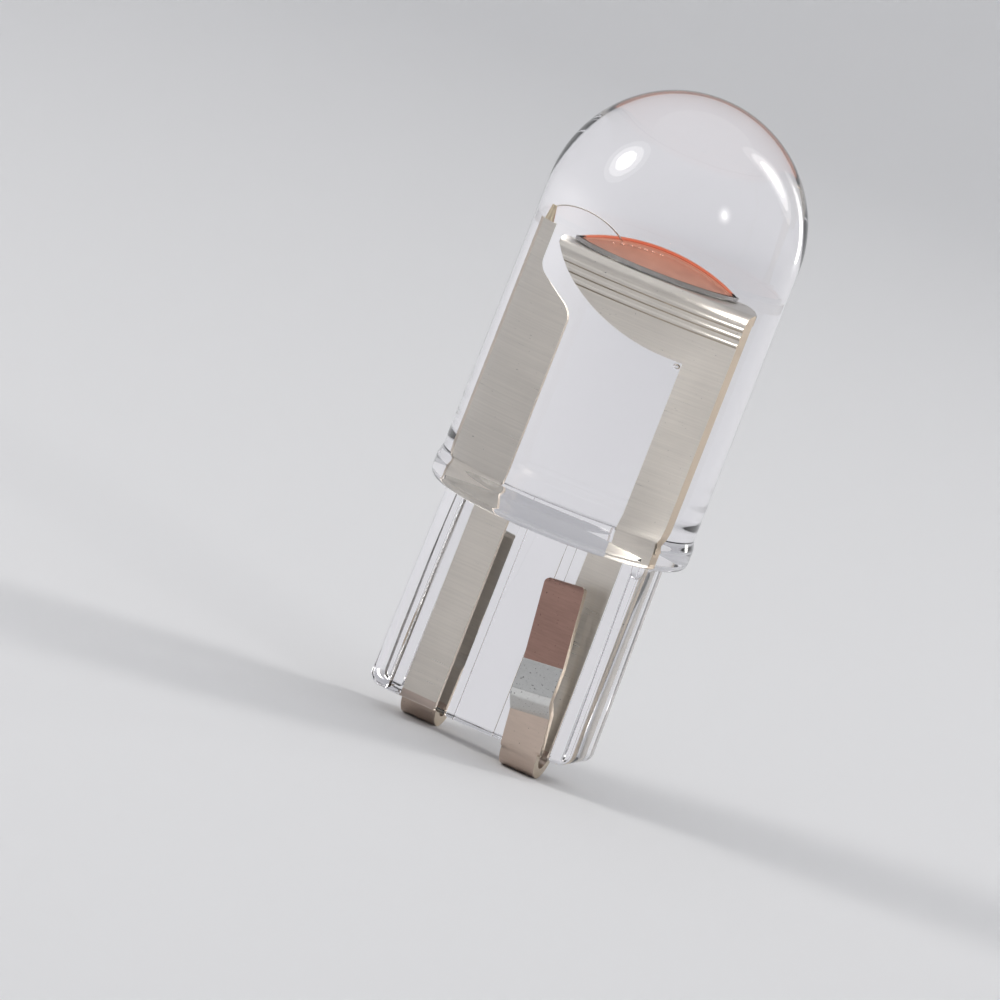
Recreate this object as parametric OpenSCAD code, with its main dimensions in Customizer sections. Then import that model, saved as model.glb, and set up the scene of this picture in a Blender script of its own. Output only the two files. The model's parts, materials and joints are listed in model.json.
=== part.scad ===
// Wedge-base light bulb for a car. One clear plastic moulding holds two stamped
// and folded lead strips. One strip carries a round chip on a folded platform,
// and both end in a sprung contact tab that is folded up beside the wedge.
// Origin: centre of the rim's underside. +Z runs up the axis to the dome.
// -Y is the side of the contact tab that belongs to the chip's own lead.

/* [Clear body] */
// Radius of the dome, and of the barrel where the dome starts
dome_r = 5; // [4.8:0.05:6]
// Height of the dome's top above the rim's underside
body_h = 17.1; // [16.5:0.1:24]
// Radius that the barrel gains by its draft, from the dome down to the rim
barrel_draft = 0.05; // [0.01:0.01:0.15]
// Radius by which the rim stands proud of the barrel
rim_proud = 0.1; // [0.04:0.01:0.4]
// Height of the rim's band
rim_h = 0.8; // [0.6:0.1:2]
// Height of the slope between the rim's band and the barrel
rim_slope = 0.5; // [0.1:0.1:1]
// Radius of the rim's lower edge
rim_edge = 0.35; // [0.05:0.05:0.4]

/* [Wedge] */
// Length of the wedge's web below the rim
wedge_l = 8.3; // [7.8:0.05:12]
// Width over the rails at the rim
wedge_top_w = 8.3; // [7.8:0.05:9.2]
// Width over the rails at the lower end
wedge_end_w = 8.55; // [7.8:0.05:9.2]
// Width of each rail across the wedge
rail_w = 0.85; // [0.4:0.05:0.95]
// Thickness of the rails
rail_t = 2.9; // [2.5:0.05:3.2]
// Length by which the rails end above the web's lower edge
rail_short = 0.1; // [0.05:0.05:0.6]
// Radius of the rails' lower outer corners
rail_corner = 0.5; // [0.1:0.05:0.6]
// Radius of the fillet between each rail and the rim
rail_fillet = 0.35; // [0.1:0.05:0.45]
// Thickness of the web
web_t = 2.1; // [1.8:0.05:2.2]
// Width of the raised panel down the middle of each face
panel_w = 2; // [0.6:0.1:2.4]
// Height by which the panel stands proud of the web
panel_proud = 0.12; // [0.05:0.01:0.2]

/* [Lead strips] */
// Thickness of the strip
strip_t = 0.4; // [0.2:0.05:0.5]
// Distance of each leg's centre line from the axis
leg_x = 2.4; // [2.3:0.05:2.6]
// Width of the legs in the barrel
leg_w = 1.55; // [1.2:0.05:1.7]
// Width of the strips in the wedge and of the folds under it
foot_w = 1.45; // [1:0.05:1.65]
// Step of the legs out of the wedge's middle plane, away from the front tab
leg_set = 0.15; // [0.05:0.05:0.5]
// Height of the foot of that step above the rim's underside
step_z = 0.6; // [0.3:0.1:2]
// Height that the step takes
step_h = 0.8; // [0.5:0.1:2]

/* [Contact tabs] */
// Radius of the fold under the wedge, to the middle of the strip
fold_r = 0.85; // [0.75:0.05:1.2]
// Width of the tabs
tab_w = 1.6; // [1:0.05:1.65]
// Height of the fold's start above the web's lower edge
fold_rise = 0.25; // [0:0.05:0.4]
// Height of the front tab's upper end above the fold's start
front_tab_h = 6.4; // [5.5:0.05:7.4]
// Lean of the front tab towards the middle of the wedge, in degrees
front_tab_lean = 6.5; // [1:0.5:8]
// Height of the rear tab's upper end above the fold's start
rear_tab_h = 6.85; // [5.5:0.05:7.4]
// Lean of the rear tab towards the middle of the wedge, in degrees
rear_tab_lean = 1; // [0.5:0.5:8]
// Height of the bump's crest above the fold's start
bump_z = 2; // [1.6:0.1:4]
// Length of the tab's slope from the crest up to its straight upper part
bump_rise = 1.2; // [0.6:0.05:1.5]
// Length of the tab's slope from the crest down to its straight lower part
bump_fall = 0.65; // [0.5:0.05:1.2]
// Half of the crest's flat
bump_land = 0.1; // [0.05:0.01:0.2]
// Depth by which the crest stands outwards
bump_bow = 0.5; // [0.2:0.05:0.7]
// Radius of the tab's corners at its upper end
tab_corner = 0.2; // [0.05:0.05:0.4]

/* [Chip lead] */
// Height of the platform's upper face above the rim's underside
platform_z = 10.1; // [9.6:0.05:10.4]
// Outer radius of the fold between the arm and the platform
platform_fold_r = 0.45; // [0.41:0.01:0.6]
// Width of the platform left free round the board
platform_margin = 0.17; // [0.05:0.01:0.3]
// Reach of the arm across the axis, to the platform's tip
arm_reach = 2.5; // [2.3:0.05:2.6]
// Height of the arm's straight lower edge above the rim's underside
arm_z = 7.5; // [6:0.05:8]
// Distance from the axis at which the arm's lower edge begins to curve
arm_curve_x = 1.1; // [0.2:0.05:1.4]
// Radius of the arm's curved lower edge
arm_curve_r = 3.9; // [3.6:0.05:4.5]
// Distance from the fold's start down to the upper one of the arm's three ridges
ridge_drop = 0.18; // [0.12:0.01:0.3]
// Distance between neighbouring ridges
ridge_pitch = 0.32; // [0.24:0.01:0.4]
// Radius of the ridges' crests
ridge_r = 0.14; // [0.08:0.01:0.16]
// Height by which the ridges stand proud of the arm
ridge_proud = 0.04; // [0.02:0.01:0.06]

/* [Side lead] */
// Height above the rim's underside at which the leg's inner edge begins to curve into the shoulder
shoulder_z = 7.3; // [6:0.05:7.5]
// Radius of the shoulder's outer corner
shoulder_r = 0.9; // [0.1:0.05:1]
// Slope of the shoulder's upper edge, in degrees
shoulder_slope = 45; // [30:1:55]
// Radius of the hollow corner between the shoulder and the neck
neck_fillet = 0.8; // [0.1:0.05:0.9]
// Width of the neck
neck_w = 0.42; // [0.3:0.02:0.5]
// Height of the neck's end above the rim's underside
neck_z = 10.5; // [10:0.05:11]
// Radius of the solder joint at its foot, on the neck's end
joint_r = 0.14; // [0.08:0.01:0.15]
// Radius of the solder joint at its tip
joint_tip_r = 0.07; // [0.05:0.01:0.08]
// Height of the solder joint
joint_h = 0.6; // [0.3:0.05:0.8]
// Radius of the bond wire
wire_r = 0.025; // [0.015:0.005:0.04]
// Height of the bond wire's arch above its chord
wire_rise = 0.45; // [0.3:0.05:0.7]
// Distance from the chip's centre to the wire's end in the lens
wire_end_r = 0.95; // [0.6:0.05:1.1]
// Height of the wire's end above the board
wire_end_h = 0.5; // [0.45:0.01:0.52]

/* [Chip] */
// Place of the chip's centre across the bulb
chip_x = -0.56; // [-0.7:0.02:-0.5]
// Place of the chip's centre behind the axis
chip_y = 2.05; // [2:0.05:2.4]
// Radius of the round board
board_r = 1.66; // [1.64:0.01:1.85]
// Thickness of the board
board_t = 0.14; // [0.08:0.02:0.4]
// Thickness of the solder under the board
bed_t = 0.05; // [0.03:0.01:0.1]
// Distance that the solder stays in from the board's edge
bed_inset = 0.15; // [0.05:0.05:0.4]
// Thickness of the copper pads
pad_t = 0.04; // [0.02:0.01:0.06]
// Width of each copper track
track_w = 0.45; // [0.3:0.05:0.5]
// Distance between the middles of neighbouring tracks
track_pitch = 0.58; // [0.55:0.01:0.6]
// Length of the tracks
track_l = 1.7; // [1.5:0.05:1.8]
// Length of each die along the tracks
die_l = 0.34; // [0.2:0.02:0.4]
// Width of each die across the gap between two tracks
die_w = 0.4; // [0.2:0.02:0.46]
// Height of each die
die_h = 0.12; // [0.06:0.01:0.2]
// Distance between the middles of neighbouring dies along the tracks
die_pitch = 0.52; // [0.45:0.01:0.6]
// Radius of the phosphor mound
phosphor_r = 1.34; // [1.25:0.01:1.45]
// Height of the phosphor mound above the board
phosphor_h = 0.5; // [0.45:0.01:0.6]
// Radius of the silicone lens at the board
lens_r = 1.62; // [1.5:0.01:1.63]
// Height of the silicone lens above the board
lens_h = 0.82; // [0.75:0.01:1]

/* [Hidden] */
$fn = 96;
TRACKS = 4;
DIES_IN_ROW = 3;
RIDGES = 3;
CUT = 0.5;
barrel_r = dome_r + barrel_draft;
rim_r = barrel_r + rim_proud;
dome_z = body_h - dome_r;
tab_y = 2 * fold_r;
fold_z = fold_rise - wedge_l;
leg_in = leg_x - leg_w / 2;
leg_out = leg_x + leg_w / 2;
leg_front = leg_set - strip_t / 2;
platform_fold_y = leg_front + platform_fold_r;
platform_fold_z = platform_z - platform_fold_r;
platform_r = board_r + platform_margin;
board_z = platform_z + bed_t;
board_top = board_z + board_t;
pad_top = board_top + pad_t;
joint_x = -leg_out + neck_w / 2;
wire_turn = atan2(leg_set - chip_y, joint_x - chip_x);
wire_from = [joint_x, leg_set, neck_z + joint_h - joint_tip_r];
wire_to = [chip_x + wire_end_r * cos(wire_turn), chip_y + wire_end_r * sin(wire_turn), board_top + wire_end_h];

// Draws a side view, with Y to the right and Z up, and stretches it along X between two places
module along_x(from, to) {
    translate([from, 0, 0])
        rotate([90, 0, 90])
            linear_extrude(to - from) children();
}

// Draws a front view, with X to the right and Z up, and stretches it along Y between two places
module along_y(from, to) {
    translate([0, to, 0])
        rotate([90, 0, 0])
            linear_extrude(to - from) children();
}

// A piece of a ring between two angles that are less than 180 degrees apart
module ring_piece(outer, inner, start, end) {
    far = 2 * outer;
    middle = (start + end) / 2;
    intersection() {
        difference() {
            circle(outer);
            circle(inner);
        }
        polygon([[0, 0],
                 [far * cos(start), far * sin(start)],
                 [far * cos(middle), far * sin(middle)],
                 [far * cos(end), far * sin(end)]]);
    }
}

// The strip's section along a straight line, with round ends where the next stretch meets it
module strip_run(a, b) {
    run = [b[0] - a[0], b[1] - a[1]];
    translate(a)
        rotate(atan2(run[1], run[0]))
            translate([0, -strip_t / 2]) square([norm(run), strip_t]);
    for (p = [a, b]) translate(p) circle(strip_t / 2);
}

// A spherical cap of a given base radius and height, standing on Z = 0
module cap(base_r, height) {
    ball_r = (base_r * base_r + height * height) / (2 * height);
    intersection() {
        translate([0, 0, height - ball_r]) sphere(ball_r);
        cylinder(h = height + CUT, r = base_r);
    }
}

// Half section of the dome, barrel and rim
module barrel_section() {
    intersection() {
        union() {
            translate([0, dome_z]) circle(dome_r);
            polygon([[0, 0],
                     [rim_r - rim_edge, 0],
                     [rim_r, rim_edge],
                     [rim_r, rim_h],
                     [barrel_r, rim_h + rim_slope],
                     [dome_r, dome_z],
                     [0, dome_z]]);
            translate([rim_r - rim_edge, rim_edge]) circle(rim_edge);
        }
        square([rim_r, body_h]);
    }
}

// Front view of one rail, on the +X side
module rail_outline() {
    rail_end = -wedge_l + rail_short;
    top = wedge_top_w / 2;
    end = wedge_end_w / 2;
    difference() {
        union() {
            polygon([[top - rail_w, CUT], [top, CUT], [top, 0], [end, rail_end + rail_corner],
                     [end - rail_corner, rail_end], [end - rail_w, rail_end]]);
            translate([end - rail_corner, rail_end + rail_corner]) circle(rail_corner);
            translate([top - rail_w / 2, -rail_fillet]) square([rail_w / 2 + rail_fillet, rail_fillet + CUT]);
        }
        translate([top + rail_fillet, -rail_fillet]) circle(rail_fillet);
    }
}

module wedge_solid() {
    top = wedge_top_w / 2 - rail_w / 2;
    end = wedge_end_w / 2 - rail_w / 2;
    for (side = [0, 1]) mirror([side, 0, 0]) along_y(-rail_t / 2, rail_t / 2) rail_outline();
    along_y(-web_t / 2, web_t / 2)
        polygon([[-top, CUT], [top, CUT], [end, -wedge_l], [-end, -wedge_l]]);
    along_y(-web_t / 2 - panel_proud, web_t / 2 + panel_proud)
        translate([-panel_w / 2, -wedge_l]) square([panel_w, wedge_l + CUT]);
}

// Side view of the strip in the wedge, its fold and its step up into the barrel
module foot_section() {
    strip_run([0, fold_z], [0, step_z]);
    translate([-fold_r, fold_z]) {
        ring_piece(fold_r + strip_t / 2, fold_r - strip_t / 2, -90, 0);
        ring_piece(fold_r + strip_t / 2, fold_r - strip_t / 2, -180, -90);
    }
}

// Side view of the sprung tab, with its bump bent outwards
module tab_section(height) {
    bends = [[0, 0],
             [0, bump_z - bump_fall],
             [-bump_bow, bump_z - bump_land],
             [-bump_bow, bump_z + bump_land],
             [0, bump_z + bump_rise],
             [0, height - strip_t / 2]];
    for (i = [0 : len(bends) - 2]) strip_run(bends[i], bends[i + 1]);
}

// Front view of the tab: a strip with rounded upper corners
module tab_outline(height) {
    half = tab_w / 2;
    translate([-half, -CUT]) square([tab_w, CUT + height - tab_corner]);
    translate([-half + tab_corner, 0]) square([tab_w - 2 * tab_corner, height]);
    for (side = [-1, 1]) translate([side * (half - tab_corner), height - tab_corner]) circle(tab_corner);
}

// One lead's strip in the wedge, its fold and its tab, with the tab on the -Y side
module contact_foot(height, lean) {
    along_x(leg_x - foot_w / 2, leg_x + foot_w / 2) foot_section();
    translate([leg_x, -tab_y, fold_z])
        rotate([0, -lean, 0])
            intersection() {
                along_x(-tab_w / 2, tab_w / 2) tab_section(height);
                along_y(-tab_y, tab_y) tab_outline(height);
            }
}

// Side view of the legs above the wedge, up to a given height
module leg_section(top) {
    strip_run([0, step_z], [leg_set, step_z + step_h]);
    translate([leg_front, step_z + step_h]) square([strip_t, top - step_z - step_h]);
}

// Front view of the chip lead's leg and arm
module chip_lead_outline() {
    curve_z = arm_z + arm_curve_r;
    translate([leg_in, 0]) square([leg_w, arm_z + CUT]);
    difference() {
        translate([-arm_reach, arm_z]) square([arm_reach + leg_out, platform_z - arm_z]);
        difference() {
            translate([-arm_reach - CUT, arm_z - CUT])
                square([arm_reach + CUT + arm_curve_x, arm_curve_r + CUT]);
            translate([arm_curve_x, curve_z]) circle(arm_curve_r);
        }
    }
}

// Side view of the fold between the arm and the platform, and of the ridges across the arm below it
module platform_section() {
    translate([platform_fold_y, platform_fold_z])
        ring_piece(platform_fold_r, platform_fold_r - strip_t, 90, 180);
    translate([platform_fold_y, platform_z - strip_t])
        square([chip_y + platform_r + CUT - platform_fold_y, strip_t]);
    for (i = [0 : RIDGES - 1])
        translate([leg_front + ridge_r - ridge_proud, platform_fold_z - ridge_drop - i * ridge_pitch]) circle(ridge_r);
}

// Where a line from a corner of the platform's fold touches the platform's round back
function touch_point(corner, turn) =
    let (way = [corner[0] - chip_x, corner[1] - chip_y],
         angle = atan2(way[1], way[0]) + turn * acos(min(1, platform_r / norm(way))))
    [chip_x + platform_r * cos(angle), chip_y + platform_r * sin(angle)];

// Plan of the arm and the platform: straight at the fold, and round the board behind it
module platform_plan() {
    left = [-arm_reach, platform_fold_y];
    right = [leg_out, platform_fold_y];
    translate([chip_x, chip_y]) circle(platform_r);
    polygon([[-arm_reach, -strip_t],
             [leg_out, -strip_t],
             right,
             touch_point(right, 1),
             [chip_x, chip_y],
             touch_point(left, -1),
             left]);
}

module chip_lead_solid() {
    contact_foot(front_tab_h, front_tab_lean);
    intersection() {
        along_x(-arm_reach, leg_out) {
            leg_section(platform_fold_z);
            platform_section();
        }
        along_y(-strip_t, dome_r) chip_lead_outline();
        linear_extrude(body_h) platform_plan();
    }
}

// Front view of the side lead's leg, shoulder and neck, on the -X side
module side_lead_outline() {
    neck_in = -leg_out + neck_w;
    round_x = -leg_in - shoulder_r;
    slope_x = round_x + shoulder_r * sin(shoulder_slope);
    slope_z = shoulder_z + shoulder_r * cos(shoulder_slope);
    meet_z = slope_z + (slope_x - neck_in) * tan(shoulder_slope);
    hollow_z = meet_z + neck_fillet * (1 - sin(shoulder_slope)) / cos(shoulder_slope);
    translate([-leg_out, 0]) square([leg_w, shoulder_z]);
    translate([round_x, shoulder_z]) circle(shoulder_r);
    polygon([[-leg_out, shoulder_z], [round_x, shoulder_z], [slope_x, slope_z], [neck_in, meet_z], [-leg_out, meet_z]]);
    difference() {
        polygon([[-leg_out, meet_z],
                 [neck_in, meet_z],
                 [neck_in + neck_fillet * (1 - sin(shoulder_slope)), hollow_z - neck_fillet * cos(shoulder_slope)],
                 [neck_in + neck_fillet, hollow_z],
                 [-leg_out, hollow_z]]);
        translate([neck_in + neck_fillet, hollow_z]) circle(neck_fillet);
    }
    translate([-leg_out, shoulder_z]) square([neck_w, neck_z - shoulder_z]);
}

module side_lead_solid() {
    rotate([0, 0, 180]) contact_foot(rear_tab_h, rear_tab_lean);
    intersection() {
        along_x(-leg_out, -leg_in) leg_section(neck_z);
        along_y(-strip_t, dome_r) side_lead_outline();
    }
}

module solder_bed_solid() {
    translate([chip_x, chip_y, platform_z]) cylinder(h = bed_t, r = board_r - bed_inset);
}

module chip_board_solid() {
    translate([chip_x, chip_y, board_z]) cylinder(h = board_t, r = board_r);
}

// Four parallel tracks
module board_pads_solid() {
    first_y = -track_pitch * (TRACKS - 1) / 2;
    translate([chip_x, chip_y, board_top])
        for (i = [0 : TRACKS - 1])
            translate([-track_l / 2, first_y + i * track_pitch - track_w / 2, 0]) cube([track_l, track_w, pad_t]);
}

module led_dies_solid() {
    translate([chip_x, chip_y, pad_top])
        for (i = [0 : TRACKS - 2], j = [0 : DIES_IN_ROW - 1])
            translate([(j - (DIES_IN_ROW - 1) / 2) * die_pitch - die_l / 2,
                       (i - (TRACKS - 2) / 2) * track_pitch - die_w / 2,
                       0])
                cube([die_l, die_w, die_h]);
}

module phosphor_solid() {
    translate([chip_x, chip_y, board_top]) cap(phosphor_r, phosphor_h);
}

module lens_solid() {
    translate([chip_x, chip_y, board_top]) cap(lens_r, lens_h);
}

// A cone of solder on the neck's end
module solder_joint_solid() {
    translate([joint_x, leg_set, neck_z]) cylinder(h = joint_h, r1 = joint_r, r2 = joint_tip_r);
}

// The wire's arch, from the joint's tip into the lens
module bond_wire_solid() {
    run = wire_to - wire_from;
    flat = norm([run[0], run[1]]);
    arch_r = (run * run / 4 + wire_rise * wire_rise) / (2 * wire_rise);
    half = asin(norm(run) / 2 / arch_r);
    translate((wire_from + wire_to) / 2)
        rotate([0, -atan2(run[2], flat), atan2(run[1], run[0])])
            translate([0, 0, wire_rise - arch_r])
                rotate([90, 0, 0])
                    rotate(90 - half)
                        rotate_extrude(angle = 2 * half) translate([arch_r, 0]) circle(wire_r, $fn = 16);
}

// The clear moulding, cast around both leads and the chip
module clear_body() {
    color("lavender", 0.35)
        difference() {
            union() {
                rotate_extrude() barrel_section();
                wedge_solid();
            }
            chip_lead_solid();
            side_lead_solid();
            solder_bed_solid();
            chip_board_solid();
            board_pads_solid();
            lens_solid();
            solder_joint_solid();
            bond_wire_solid();
        }
}

module chip_lead() {
    color("silver") chip_lead_solid();
}

module side_lead() {
    color("silver") side_lead_solid();
}

module solder_bed() {
    color("lightgray") solder_bed_solid();
}

module chip_board() {
    color("dimgray") chip_board_solid();
}

module board_pads() {
    color("goldenrod") board_pads_solid();
}

module led_dies() {
    color("lightblue") led_dies_solid();
}

// The phosphor fills the space round the dies
module phosphor_dome() {
    color("lightsalmon")
        difference() {
            phosphor_solid();
            board_pads_solid();
            led_dies_solid();
        }
}

// The silicone lens closes over the phosphor and the wire's end
module silicone_lens() {
    color("orangered", 0.8)
        difference() {
            lens_solid();
            phosphor_solid();
            board_pads_solid();
            bond_wire_solid();
        }
}

module solder_joint() {
    color("darkgoldenrod") solder_joint_solid();
}

// The wire starts on the joint
module bond_wire() {
    color("gold")
        difference() {
            bond_wire_solid();
            solder_joint_solid();
        }
}

clear_body();
chip_lead();
side_lead();
solder_bed();
chip_board();
board_pads();
led_dies();
phosphor_dome();
silicone_lens();
solder_joint();
bond_wire();
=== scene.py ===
import json
import math

import bmesh
import bpy
from mathutils import Matrix, Vector

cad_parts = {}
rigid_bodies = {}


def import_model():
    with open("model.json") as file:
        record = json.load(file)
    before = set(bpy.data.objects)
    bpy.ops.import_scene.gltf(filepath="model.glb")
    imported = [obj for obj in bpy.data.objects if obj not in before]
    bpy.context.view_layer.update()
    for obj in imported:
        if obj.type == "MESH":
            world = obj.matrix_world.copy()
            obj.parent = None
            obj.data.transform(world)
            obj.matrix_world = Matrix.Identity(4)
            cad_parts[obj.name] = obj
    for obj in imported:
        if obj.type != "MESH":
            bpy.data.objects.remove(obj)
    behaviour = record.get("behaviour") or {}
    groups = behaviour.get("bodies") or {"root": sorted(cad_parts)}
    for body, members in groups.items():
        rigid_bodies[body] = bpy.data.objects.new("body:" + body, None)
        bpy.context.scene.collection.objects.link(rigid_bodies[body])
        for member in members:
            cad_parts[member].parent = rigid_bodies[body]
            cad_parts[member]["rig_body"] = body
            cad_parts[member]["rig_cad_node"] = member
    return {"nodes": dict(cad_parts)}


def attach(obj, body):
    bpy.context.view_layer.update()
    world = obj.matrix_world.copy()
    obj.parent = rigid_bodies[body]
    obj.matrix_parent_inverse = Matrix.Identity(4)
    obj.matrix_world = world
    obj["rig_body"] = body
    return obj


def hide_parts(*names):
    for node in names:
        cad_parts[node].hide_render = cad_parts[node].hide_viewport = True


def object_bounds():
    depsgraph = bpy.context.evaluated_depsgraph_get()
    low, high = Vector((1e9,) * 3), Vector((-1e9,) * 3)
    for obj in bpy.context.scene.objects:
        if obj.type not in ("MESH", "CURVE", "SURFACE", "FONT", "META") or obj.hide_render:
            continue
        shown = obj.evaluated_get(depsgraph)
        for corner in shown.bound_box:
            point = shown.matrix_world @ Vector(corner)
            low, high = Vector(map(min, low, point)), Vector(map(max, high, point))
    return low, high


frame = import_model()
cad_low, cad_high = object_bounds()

MM = 0.001

# Camera. The photograph looks at the bulb from a little to the right of its front and from
# eight degrees above the rim, through a long lens, and the bulb's axis leans to the right in it.
camera_turn = math.radians(15.5)
camera_reach = 380 * MM
camera_rise = 53.5 * MM
camera_roll = math.radians(21.4)
aim_across = -2.3 * MM
aim_up = -0.02 * MM
level_right = Vector((math.cos(camera_turn), math.sin(camera_turn), 0))
camera_place = Vector((math.sin(camera_turn) * camera_reach, -math.cos(camera_turn) * camera_reach, camera_rise))
aim = level_right * aim_across + Vector((0, 0, aim_up))
forward = (aim - camera_place).normalized()
side = forward.cross(Vector((0, 0, 1))).normalized()
upright = side.cross(forward)
right = side * math.cos(camera_roll) + upright * math.sin(camera_roll)
up = upright * math.cos(camera_roll) - side * math.sin(camera_roll)
turn = Matrix((right, up, -forward)).transposed()
camera_data = bpy.data.cameras.new("camera")
camera_data.lens = 368
camera_data.sensor_width = 36
camera_data.clip_start = 0.01
camera_data.clip_end = 10
camera = bpy.data.objects.new("camera", camera_data)
camera.matrix_world = Matrix.Translation(camera_place) @ turn.to_4x4()
bpy.context.scene.collection.objects.link(camera)
bpy.context.scene.camera = camera
bpy.context.scene.view_settings.view_transform = "Standard"


def start_piece(name):
    """Names the object that a primitive operator has just made, and leaves it alone and selected."""
    piece = bpy.context.object
    piece.name = name
    piece.data.name = name
    bpy.ops.object.transform_apply(location=True, rotation=True, scale=True)
    return piece


def only(piece):
    """Makes one object the only selected one, and the active one."""
    bpy.ops.object.select_all(action="DESELECT")
    piece.select_set(True)
    bpy.context.view_layer.objects.active = piece


def pick(mode, test):
    """In edit mode, selects the vertices, edges or faces whose middle and normal pass the test."""
    bpy.ops.mesh.select_mode(type=mode)
    bpy.ops.mesh.select_all(action="DESELECT")
    shape = bmesh.from_edit_mesh(bpy.context.object.data)
    if mode == "VERT":
        for v in shape.verts:
            v.select = test(v.co, v.normal)
    if mode == "EDGE":
        for e in shape.edges:
            middle = (e.verts[0].co + e.verts[1].co) / 2
            e.select = test(middle, (e.verts[0].co - e.verts[1].co).normalized())
    if mode == "FACE":
        for f in shape.faces:
            f.select = test(f.calc_center_median(), f.normal)
    shape.select_flush_mode()
    bmesh.update_edit_mesh(bpy.context.object.data)


def finish_modifier(piece, kind, **values):
    """Adds one modifier with the values given and applies it."""
    only(piece)
    modifier = piece.modifiers.new(kind.lower(), kind)
    for key, value in values.items():
        setattr(modifier, key, value)
    bpy.ops.object.modifier_apply(modifier=modifier.name)


# Floor and backdrop. One round pale sweep: a flat floor that curves up into a wall all round,
# so that every view has the same plain background.
bpy.ops.object.select_all(action="DESELECT")
sweep_r = 420 * MM
sweep_curve = 160 * MM
sweep_wall = 620 * MM
sweep_steps = 16
floor_z = cad_low.z - 0.01 * MM
bpy.ops.mesh.primitive_circle_add(vertices=96, radius=sweep_r, location=(0, 0, floor_z + sweep_wall))
backdrop = start_piece("backdrop")
bpy.ops.object.mode_set(mode="EDIT")
bpy.ops.mesh.select_all(action="SELECT")
bpy.ops.mesh.extrude_region_move(TRANSFORM_OT_translate={"value": (0, 0, sweep_curve - sweep_wall)})
ring_r = sweep_r
ring_z = floor_z + sweep_curve
for step in range(1, sweep_steps + 1):
    angle = math.pi / 2 * step / sweep_steps
    next_r = sweep_r - sweep_curve * (1 - math.cos(angle))
    next_z = floor_z + sweep_curve * (1 - math.sin(angle))
    bpy.ops.mesh.extrude_region_move(TRANSFORM_OT_translate={"value": (0, 0, next_z - ring_z)})
    bpy.ops.transform.resize(value=(next_r / ring_r, next_r / ring_r, 1), center_override=(0, 0, next_z))
    ring_r, ring_z = next_r, next_z
bpy.ops.mesh.edge_face_add()
bpy.ops.mesh.select_all(action="SELECT")
bpy.ops.mesh.normals_make_consistent(inside=True)
bpy.ops.mesh.faces_shade_smooth()
bpy.ops.object.mode_set(mode="OBJECT")

backdrop_grey = (0.74, 0.74, 0.75)
backdrop_paint = bpy.data.materials.new("pale_backdrop")
backdrop_paint.use_nodes = True
backdrop_shader = backdrop_paint.node_tree.nodes["Principled BSDF"]
backdrop_shader.inputs["Base Color"].default_value = (*backdrop_grey, 1)
backdrop_shader.inputs["Roughness"].default_value = 0.9
backdrop_shader.inputs["Specular IOR Level"].default_value = 0.1
backdrop.data.materials.append(backdrop_paint)

# Light. A soft round key from the left, a long soft light from the upper right behind, a small
# one from the right in front, and an even sky over the open top of the sweep. Each light is a
# few ovals of growing size in one place, so that its reflection fades out at its edge.
sky = bpy.data.worlds.new("sky")
sky.use_nodes = True
sky.node_tree.nodes["Background"].inputs["Color"].default_value = (0.95, 0.97, 1.0, 1)
sky.node_tree.nodes["Background"].inputs["Strength"].default_value = 0.8
bpy.context.scene.world = sky
level_toward = Vector((math.sin(camera_turn), -math.cos(camera_turn), 0))
light_centre = Vector((0, 0, 8 * MM))


def soft_lamp(name, across, toward, rise, distance, wide, tall, watts):
    """Adds a soft oval light with a faded edge, placed by its direction as the camera sees it."""
    way = (level_right * across + level_toward * toward + Vector((0, 0, rise))).normalized()
    for oval, (spread, share) in enumerate(((0.6, 0.36), (1.0, 0.36), (1.4, 0.28))):
        data = bpy.data.lights.new(name + "_" + str(oval), "AREA")
        data.shape = "ELLIPSE"
        data.size = wide * spread
        data.size_y = tall * spread
        data.energy = watts * share
        data.color = (1.0, 0.985, 0.96)
        light = bpy.data.objects.new(data.name, data)
        light.location = light_centre + way * (distance + oval * 2 * MM)
        light.rotation_mode = "QUATERNION"
        light.rotation_quaternion = way.to_track_quat("Z", "Y")
        bpy.context.scene.collection.objects.link(light)


soft_lamp("key_light", -0.81, 0.2525, 0.53, 0.28, 0.11, 0.14, 0.30)
soft_lamp("rim_light", 0.652, -0.382, 0.656, 0.30, 0.07, 0.20, 0.25)
soft_lamp("front_light", 0.595, 0.675, 0.438, 0.30, 0.05, 0.06, 0.06)
soft_lamp("side_light", 0.60, -0.80, 0.05, 0.30, 0.04, 0.22, 0.12)

# Clear moulding. The dome, the barrel with its rim, and the wedge base are one piece of clear
# plastic, moulded round the metal strips, so it is one solid with no hollow in it.
dome_r = 5.0 * MM
dome_z = 12.1 * MM
barrel_r = 5.05 * MM
rim_r = 5.15 * MM
rim_top = 0.8 * MM
slope_top = 1.3 * MM
rim_edge = 0.35 * MM
barrel_loops = 14
bpy.ops.object.select_all(action="DESELECT")
bpy.ops.mesh.primitive_uv_sphere_add(segments=192, ring_count=96, radius=dome_r, location=(0, 0, dome_z))
clear_moulding = start_piece("clear_moulding")
bpy.ops.object.mode_set(mode="EDIT")
pick("VERT", lambda co, n: co.z < dome_z - 0.01 * MM)
bpy.ops.mesh.delete(type="VERT")
pick("VERT", lambda co, n: co.z < dome_z + 0.01 * MM)
barrel_rings = []
for loop in range(1, barrel_loops + 1):
    share = loop / barrel_loops
    barrel_rings.append((dome_r + (barrel_r - dome_r) * share, dome_z + (slope_top - dome_z) * share))
for step in range(1, 9):
    share = step / 8
    swell = (1 - math.cos(math.pi * share)) / 2
    barrel_rings.append((barrel_r + (rim_r - barrel_r) * swell, slope_top + (rim_top - slope_top) * share))
for step in range(0, 11):
    angle = math.pi / 2 * step / 10
    barrel_rings.append((rim_r - rim_edge * (1 - math.cos(angle)), rim_edge * (1 - math.sin(angle))))
ring_r, ring_z = dome_r, dome_z
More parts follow.
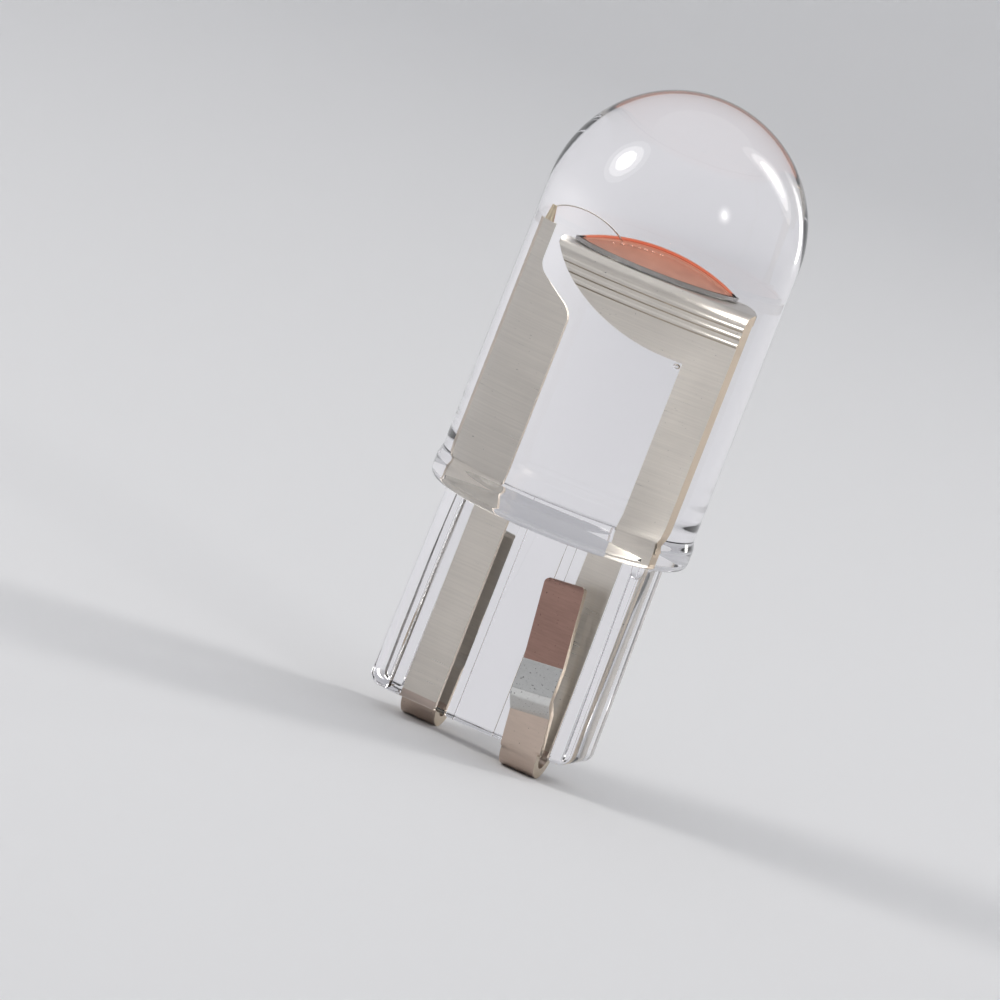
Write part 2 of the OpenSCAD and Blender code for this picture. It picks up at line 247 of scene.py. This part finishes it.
for next_r, next_z in barrel_rings:
    bpy.ops.mesh.extrude_region_move(TRANSFORM_OT_translate={"value": (0, 0, next_z - ring_z)})
    bpy.ops.transform.resize(value=(next_r / ring_r, next_r / ring_r, 1), center_override=(0, 0, next_z))
    ring_r, ring_z = next_r, next_z
# The rim's underside shrank a little as the plastic set, so it is hollowed towards its middle.
dish_depth = 0.45 * MM
dish_rings = 10
for step in range(1, dish_rings + 1):
    share = step / dish_rings
    next_r = (rim_r - rim_edge) * (1 - 0.93 * share)
    next_z = dish_depth * math.sin(math.pi / 2 * share) ** 0.8
    bpy.ops.mesh.extrude_region_move(TRANSFORM_OT_translate={"value": (0, 0, next_z - ring_z)})
    bpy.ops.transform.resize(value=(next_r / ring_r, next_r / ring_r, 1), center_override=(0, 0, next_z))
    ring_r, ring_z = next_r, next_z
bpy.ops.mesh.edge_face_add()
bpy.ops.mesh.select_all(action="SELECT")
bpy.ops.mesh.remove_doubles(threshold=0.0005 * MM)
bpy.ops.mesh.normals_make_consistent(inside=False)
bpy.ops.object.mode_set(mode="OBJECT")

web_t = 2.1 * MM
web_end = -8.3 * MM
web_top_half = 3.7 * MM
panel_half = 1.0 * MM
panel_t = 2.34 * MM
rail_t = 2.9 * MM
rail_w = 0.85 * MM
rail_end = -8.2 * MM
rail_out_top = 4.15 * MM
rail_out_end = 4.275 * MM
root = 0.8 * MM


def block(name, low, high, edge, corner_test=None, corner=0.0):
    """A moulded block between two corners, with its chosen corners rounded and all its edges eased."""
    bpy.ops.object.select_all(action="DESELECT")
    low, high = Vector(low), Vector(high)
    bpy.ops.mesh.primitive_cube_add(size=1, location=(low + high) / 2, scale=high - low)
    piece = start_piece(name)
    if corner_test:
        bpy.ops.object.mode_set(mode="EDIT")
        pick("EDGE", corner_test)
        bpy.ops.mesh.bevel(offset=corner, offset_type="OFFSET", segments=8)
        bpy.ops.object.mode_set(mode="OBJECT")
    finish_modifier(piece, "BEVEL", width=edge, segments=3, limit_method="ANGLE", angle_limit=math.radians(40))
    return piece


def unite(piece, other):
    """Makes two closed pieces one."""
    finish_modifier(piece, "BOOLEAN", operation="UNION", object=other, solver="EXACT")
    bpy.data.objects.remove(other)


web = block("web", (-web_top_half, -web_t / 2, web_end), (web_top_half, web_t / 2, root), 0.08 * MM)
panel = block("panel", (-panel_half, -panel_t / 2, web_end), (panel_half, panel_t / 2, root), 0.06 * MM)
unite(clear_moulding, web)
unite(clear_moulding, panel)
for sign in (-1, 1):
    inner, outer = sorted((sign * (rail_out_top - rail_w), sign * rail_out_top))
    rail = block("rail", (inner, -rail_t / 2, rail_end), (outer, rail_t / 2, root), 0.1 * MM,
                 lambda co, way: abs(co.x) > rail_out_top - 0.01 * MM and co.z < -5 * MM and abs(way.y) > 0.9, 0.5 * MM)
    for v in rail.data.vertices:
        v.co.x += sign * (rail_out_end - rail_out_top) * v.co.z / rail_end
    unite(clear_moulding, rail)

# A concave fillet where each rail meets the rim, and a small run of plastic at the right one.
fillet_r = 0.35 * MM
for sign in (-1, 1):
    inner, outer = sorted((sign * (rail_out_top - 0.2 * MM), sign * (rail_out_top + fillet_r)))
    fillet = block("fillet", (inner, -rail_t / 2 + 0.02 * MM, -fillet_r), (outer, rail_t / 2 - 0.02 * MM, 0.2 * MM), 0.01 * MM)
    bpy.ops.object.select_all(action="DESELECT")
    bpy.ops.mesh.primitive_cylinder_add(vertices=48, radius=fillet_r, depth=4 * MM,
                                        location=(sign * (rail_out_top + fillet_r), 0, -fillet_r),
                                        rotation=(math.pi / 2, 0, 0))
    hollow = start_piece("hollow")
    finish_modifier(fillet, "BOOLEAN", operation="DIFFERENCE", object=hollow, solver="EXACT")
    bpy.data.objects.remove(hollow)
    unite(clear_moulding, fillet)
bpy.ops.object.select_all(action="DESELECT")
bpy.ops.mesh.primitive_uv_sphere_add(segments=48, ring_count=24, radius=0.3 * MM, scale=(0.9, 0.7, 1.5),
                                     location=(3.98 * MM, -1.36 * MM, -0.2 * MM))
unite(clear_moulding, start_piece("run"))
only(clear_moulding)
bpy.ops.object.shade_smooth_by_angle(angle=math.radians(32))

clear_plastic = bpy.data.materials.new("clear_plastic")
clear_plastic.use_nodes = True
clear_shader = clear_plastic.node_tree.nodes["Principled BSDF"]
clear_shader.inputs["Base Color"].default_value = (0.985, 0.975, 1.0, 1)
clear_shader.inputs["Transmission Weight"].default_value = 1
clear_shader.inputs["IOR"].default_value = 1.49
clear_shader.inputs["Roughness"].default_value = 0.0
clear_moulding.data.materials.append(clear_plastic)
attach(clear_moulding, "root")
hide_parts("clear_body")

# Air bubble. One small round bubble was caught in the plastic, in the corner under the arm.
bpy.ops.object.select_all(action="DESELECT")
bpy.ops.mesh.primitive_uv_sphere_add(segments=48, ring_count=24, radius=0.1 * MM,
                                     location=(1.49 * MM, -0.02 * MM, 7.33 * MM))
bubble = start_piece("air_bubble")
bpy.ops.object.shade_smooth()
trapped_air = bpy.data.materials.new("trapped_air")
trapped_air.use_nodes = True
air_shader = trapped_air.node_tree.nodes["Principled BSDF"]
air_shader.inputs["Base Color"].default_value = (1, 1, 1, 1)
air_shader.inputs["Transmission Weight"].default_value = 1
air_shader.inputs["IOR"].default_value = 0.67
air_shader.inputs["Roughness"].default_value = 0.0
bubble.data.materials.append(trapped_air)
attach(bubble, "root")

# Chip lead. One stamped and folded strip of plated copper: the platform under the chip, the arm,
# the leg, the strip in the wedge and the sprung tab in front of it.
satin_silver = (0.84, 0.79, 0.70)
edge_bronze = (0.62, 0.52, 0.40)


def folded_strip(node, name, edge):
    """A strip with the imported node's folds, with its sheared edges eased and its bends smooth."""
    bpy.ops.object.select_all(action="DESELECT")
    piece = frame["nodes"][node].copy()
    piece.data = frame["nodes"][node].data.copy()
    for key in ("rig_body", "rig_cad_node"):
        del piece[key]
    piece.parent = None
    piece.name = name
    piece.data.name = name
    piece.data.materials.clear()
    bpy.context.scene.collection.objects.link(piece)
    only(piece)
    bpy.ops.mesh.customdata_custom_splitnormals_clear()
    bpy.ops.object.mode_set(mode="EDIT")
    bpy.ops.mesh.select_mode(type="VERT")
    bpy.ops.mesh.select_all(action="SELECT")
    bpy.ops.mesh.remove_doubles(threshold=0.002 * MM)
    bpy.ops.mesh.dissolve_limited(angle_limit=math.radians(0.8))
    bpy.ops.object.mode_set(mode="OBJECT")
    finish_modifier(piece, "BEVEL", width=edge, segments=2, limit_method="ANGLE", angle_limit=math.radians(50))
    bpy.ops.object.mode_set(mode="EDIT")
    bpy.ops.mesh.select_all(action="SELECT")
    bpy.ops.mesh.remove_doubles(threshold=0.002 * MM)
    bpy.ops.object.mode_set(mode="OBJECT")
    bpy.ops.object.shade_smooth_by_angle(angle=math.radians(40))
    return piece


def link(tree, source, target):
    tree.links.new(source, target)


def plated_metal(name, colour, roughness, grain, relief, dark=0.86, pits=0.0):
    """Satin metal with fine scratches, a slightly uneven tone and, where asked, small dark pits."""
    metal = bpy.data.materials.new(name)
    metal.use_nodes = True
    tree = metal.node_tree
    shader = tree.nodes["Principled BSDF"]
    shader.inputs["Metallic"].default_value = 1
    place = tree.nodes.new("ShaderNodeTexCoord")
    stretch = tree.nodes.new("ShaderNodeMapping")
    stretch.inputs["Scale"].default_value = grain
    link(tree, place.outputs["Object"], stretch.inputs["Vector"])
    brush = tree.nodes.new("ShaderNodeTexNoise")
    brush.inputs["Scale"].default_value = 1
    brush.inputs["Detail"].default_value = 3
    link(tree, stretch.outputs["Vector"], brush.inputs["Vector"])
    cloud = tree.nodes.new("ShaderNodeTexNoise")
    cloud.inputs["Scale"].default_value = 700
    cloud.inputs["Detail"].default_value = 3
    link(tree, place.outputs["Object"], cloud.inputs["Vector"])
    tone = tree.nodes.new("ShaderNodeMix")
    tone.data_type = "RGBA"
    tone.inputs["A"].default_value = (*[c * dark for c in colour], 1)
    tone.inputs["B"].default_value = (*[min(1, c * 1.08) for c in colour], 1)
    blend = tree.nodes.new("ShaderNodeMix")
    blend.inputs["Factor"].default_value = 0.6
    link(tree, cloud.outputs["Fac"], blend.inputs["A"])
    link(tree, brush.outputs["Fac"], blend.inputs["B"])
    link(tree, blend.outputs["Result"], tone.inputs["Factor"])
    speck = tree.nodes.new("ShaderNodeTexNoise")
    speck.inputs["Scale"].default_value = 11000
    speck.inputs["Detail"].default_value = 1
    link(tree, place.outputs["Object"], speck.inputs["Vector"])
    spot = tree.nodes.new("ShaderNodeMapRange")
    spot.inputs["From Min"].default_value = 0.76 - 0.2 * pits
    spot.inputs["From Max"].default_value = 0.84 - 0.2 * pits
    link(tree, speck.outputs["Fac"], spot.inputs["Value"])
    pitted = tree.nodes.new("ShaderNodeMix")
    pitted.data_type = "RGBA"
    pitted.inputs["B"].default_value = (*[c * 0.35 for c in colour], 1)
    link(tree, spot.outputs["Result"], pitted.inputs["Factor"])
    link(tree, tone.outputs["Result"], pitted.inputs["A"])
    link(tree, pitted.outputs["Result"], shader.inputs["Base Color"])
    rough = tree.nodes.new("ShaderNodeMapRange")
    rough.inputs["To Min"].default_value = roughness * 0.8
    rough.inputs["To Max"].default_value = roughness * 1.2
    link(tree, brush.outputs["Fac"], rough.inputs["Value"])
    link(tree, rough.outputs["Result"], shader.inputs["Roughness"])
    bump = tree.nodes.new("ShaderNodeBump")
    bump.inputs["Strength"].default_value = 0.4
    bump.inputs["Distance"].default_value = relief
    link(tree, brush.outputs["Fac"], bump.inputs["Height"])
    link(tree, bump.outputs["Normal"], shader.inputs["Normal"])
    return metal


plated_strip = plated_metal("plated_strip", satin_silver, 0.3, (350, 3000, 13000), 0.006 * MM, 0.72)
sheared_edge = plated_metal("sheared_edge", edge_bronze, 0.38, (9000, 9000, 900), 0.002 * MM)
# Painted reflection: the tab's upper part is coloured reddish-brown as a painted reflection of its surroundings.
tab_painted_reflection = plated_metal("tab_painted_reflection", (0.47, 0.29, 0.24), 0.36, (1500, 3000, 15000), 0.004 * MM, 0.6, 0.35)
# Painted highlight: the tab's crest is coloured pale grey as a painted highlight of the light from above.
crest_painted_highlight = plated_metal("crest_painted_highlight", (0.78, 0.78, 0.76), 0.2, (9000, 9000, 9000), 0.004 * MM, 0.8, 0.45)
# Painted reflection: the tab's foot and every strip's bottom bend are coloured pinkish-brown as a painted reflection of
# what lies below.
foot_painted_reflection = plated_metal("foot_painted_reflection", (0.66, 0.54, 0.46), 0.33, (1500, 3000, 12000), 0.003 * MM, 0.8, 0.2)


def dress_strip(piece, tab_side):
    """Gives the sheared edges their bronze tone, the faces the plating, and the tab and the bottom bends their bands of
    painted reflection and painted highlight.
    """
    for metal in (plated_strip, sheared_edge, tab_painted_reflection, crest_painted_highlight, foot_painted_reflection):
        piece.data.materials.append(metal)
    for face in piece.data.polygons:
        place, way = face.center, face.normal
        cut_side = abs(way.x) > 0.6
        cut_below = 7 * MM < place.z < 9.9 * MM and way.z < -0.35 and place.y < 0.6 * MM
        cut_back = place.z > 9.5 * MM and way.y > 0.35
        band = 0
        # The tab's bands are painted light: a painted reflection at the top, a painted highlight on the crest below it
        # and a painted reflection at its foot.
        if tab_side * place.y > 1.3 * MM and tab_side * way.y > 0.2:
            band = 2 if place.z > -4.8 * MM else 3 if place.z > -6.75 * MM else 4
        # Every strip's bottom bend gets the foot's painted reflection too.
        if place.z < -7.9 * MM:
            band = 4
        face.material_index = 1 if cut_side or cut_below or cut_back else band


chip_strip = folded_strip("chip_lead", "chip_strip", 0.05 * MM)
dress_strip(chip_strip, -1)
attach(chip_strip, "root")
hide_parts("chip_lead")

# Side lead. The second strip of the same stock: leg, shoulder and a narrow neck that ends beside
# the chip, and below it the wedge strip and the tab on the far face.
side_strip = folded_strip("side_lead", "side_strip", 0.05 * MM)
dress_strip(side_strip, 1)
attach(side_strip, "root")
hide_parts("side_lead")

# Round board, its solder bed, its copper pads and dies, the joint on the side lead's neck and the
# bond wire stay as packed, each with its own finish.


def plain_finish(name, colour, roughness, metallic, grain):
    """A simple finish with a fine uneven tone."""
    finish = bpy.data.materials.new(name)
    finish.use_nodes = True
    tree = finish.node_tree
    shader = tree.nodes["Principled BSDF"]
    shader.inputs["Metallic"].default_value = metallic
    shader.inputs["Roughness"].default_value = roughness
    place = tree.nodes.new("ShaderNodeTexCoord")
    cloud = tree.nodes.new("ShaderNodeTexNoise")
    cloud.inputs["Scale"].default_value = grain
    cloud.inputs["Detail"].default_value = 4
    link(tree, place.outputs["Object"], cloud.inputs["Vector"])
    tone = tree.nodes.new("ShaderNodeMix")
    tone.data_type = "RGBA"
    tone.inputs["A"].default_value = (*[c * 0.8 for c in colour], 1)
    tone.inputs["B"].default_value = (*[min(1, c * 1.15) for c in colour], 1)
    link(tree, cloud.outputs["Fac"], tone.inputs["Factor"])
    link(tree, tone.outputs["Result"], shader.inputs["Base Color"])
    return finish


for node, finish in (
    ("solder_bed", plain_finish("solder_bed", (0.62, 0.62, 0.60), 0.4, 1, 4000)),
    ("solder_joint", plain_finish("solder_joint", (0.72, 0.60, 0.40), 0.3, 1, 4000)),
    ("bond_wire", plain_finish("bond_wire", (0.70, 0.68, 0.62), 0.3, 1, 4000)),
    ("chip_board", plain_finish("chip_board", (0.46, 0.44, 0.42), 0.4, 0, 5000)),
    ("board_pads", plain_finish("board_pads", (0.80, 0.58, 0.30), 0.35, 1, 5000)),
    ("led_dies", plain_finish("led_dies", (0.55, 0.62, 0.70), 0.15, 0, 6000)),
):
    shown = frame["nodes"][node]
    shown.data.materials.clear()
    shown.data.materials.append(finish)

# Phosphor mound. Matt pink-salmon resin poured over the dies.
chip_centre = Vector((-0.56 * MM, 2.05 * MM, 10.29 * MM))


def poured_cap(name, base_r, height, rings):
    """A shallow round cap of poured resin, closed underneath."""
    ball_r = (base_r * base_r + height * height) / (2 * height)
    bpy.ops.object.select_all(action="DESELECT")
    middle = chip_centre + Vector((0, 0, height - ball_r))
    bpy.ops.mesh.primitive_uv_sphere_add(segments=96, ring_count=rings, radius=ball_r, location=middle)
    piece = start_piece(name)
    bpy.ops.object.mode_set(mode="EDIT")
    bpy.ops.mesh.select_all(action="SELECT")
    bpy.ops.mesh.bisect(plane_co=chip_centre, plane_no=(0, 0, 1), clear_inner=True, use_fill=True, threshold=0.00001 * MM)
    bpy.ops.mesh.select_all(action="SELECT")
    bpy.ops.mesh.normals_make_consistent(inside=False)
    bpy.ops.object.mode_set(mode="OBJECT")
    only(piece)
    bpy.ops.object.shade_smooth_by_angle(angle=math.radians(25))
    return piece


phosphor = poured_cap("phosphor", 1.5 * MM, 0.56 * MM, 192)
phosphor.data.materials.append(plain_finish("phosphor", (0.95, 0.66, 0.57), 0.6, 0, 2500))
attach(phosphor, "root")
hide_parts("phosphor_dome")

# Silicone lens. A translucent dome over the phosphor: nearly clear inside, with an orange skin that
# glows where the eye looks along it.
lens_cap = poured_cap("lens_cap", 1.62 * MM, 0.82 * MM, 192)
core = poured_cap("core", 1.53 * MM, 0.70 * MM, 160)
core.location.z = -0.0002 * MM
finish_modifier(lens_cap, "BOOLEAN", operation="DIFFERENCE", object=core, solver="EXACT")
bpy.data.objects.remove(core)
only(lens_cap)
bpy.ops.object.shade_smooth_by_angle(angle=math.radians(25))
orange_silicone = bpy.data.materials.new("orange_silicone")
orange_silicone.use_nodes = True
silicone_tree = orange_silicone.node_tree
silicone_shader = silicone_tree.nodes["Principled BSDF"]
silicone_shader.inputs["Base Color"].default_value = (1.0, 0.96, 0.94, 1)
silicone_shader.inputs["Transmission Weight"].default_value = 1
silicone_shader.inputs["IOR"].default_value = 1.01
silicone_shader.inputs["Roughness"].default_value = 0.03
silicone_depth = silicone_tree.nodes.new("ShaderNodeVolumeAbsorption")
silicone_depth.inputs["Color"].default_value = (1.0, 0.34, 0.02, 1)
silicone_depth.inputs["Density"].default_value = 2100
link(silicone_tree, silicone_depth.outputs["Volume"], silicone_tree.nodes["Material Output"].inputs["Volume"])
lens_cap.data.materials.append(orange_silicone)
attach(lens_cap, "root")
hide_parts("silicone_lens")

# Resin beads. Tiny bright bubbles sit in a row where the phosphor mound meets the clear silicone.
phosphor_ball_r = (1.5 ** 2 + 0.56 ** 2) / (2 * 0.56)
resin_beads = None
bead_front = 0.3
for reach, size in ((0.02, 0.044), (0.2, 0.036), (0.36, 0.046), (0.5, 0.034), (0.66, 0.04), (0.84, 0.044), (1.02, 0.034)):
    sag = phosphor_ball_r - math.sqrt(phosphor_ball_r ** 2 - reach ** 2 - bead_front ** 2)
    bead_place = chip_centre + (level_toward * bead_front - level_right * reach) * MM + Vector((0, 0, (0.57 - sag) * MM))
    bpy.ops.object.select_all(action="DESELECT")
    bpy.ops.mesh.primitive_uv_sphere_add(segments=16, ring_count=8, radius=size * MM, location=bead_place)
    bead = start_piece("resin_beads")
    bpy.ops.object.shade_smooth()
    if resin_beads:
        resin_beads.select_set(True)
        bpy.context.view_layer.objects.active = resin_beads
        bpy.ops.object.join()
    else:
        resin_beads = bead
resin_beads.data.materials.append(plain_finish("resin_beads", (1.0, 1.0, 0.98), 0.25, 1, 3000))
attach(resin_beads, "root")
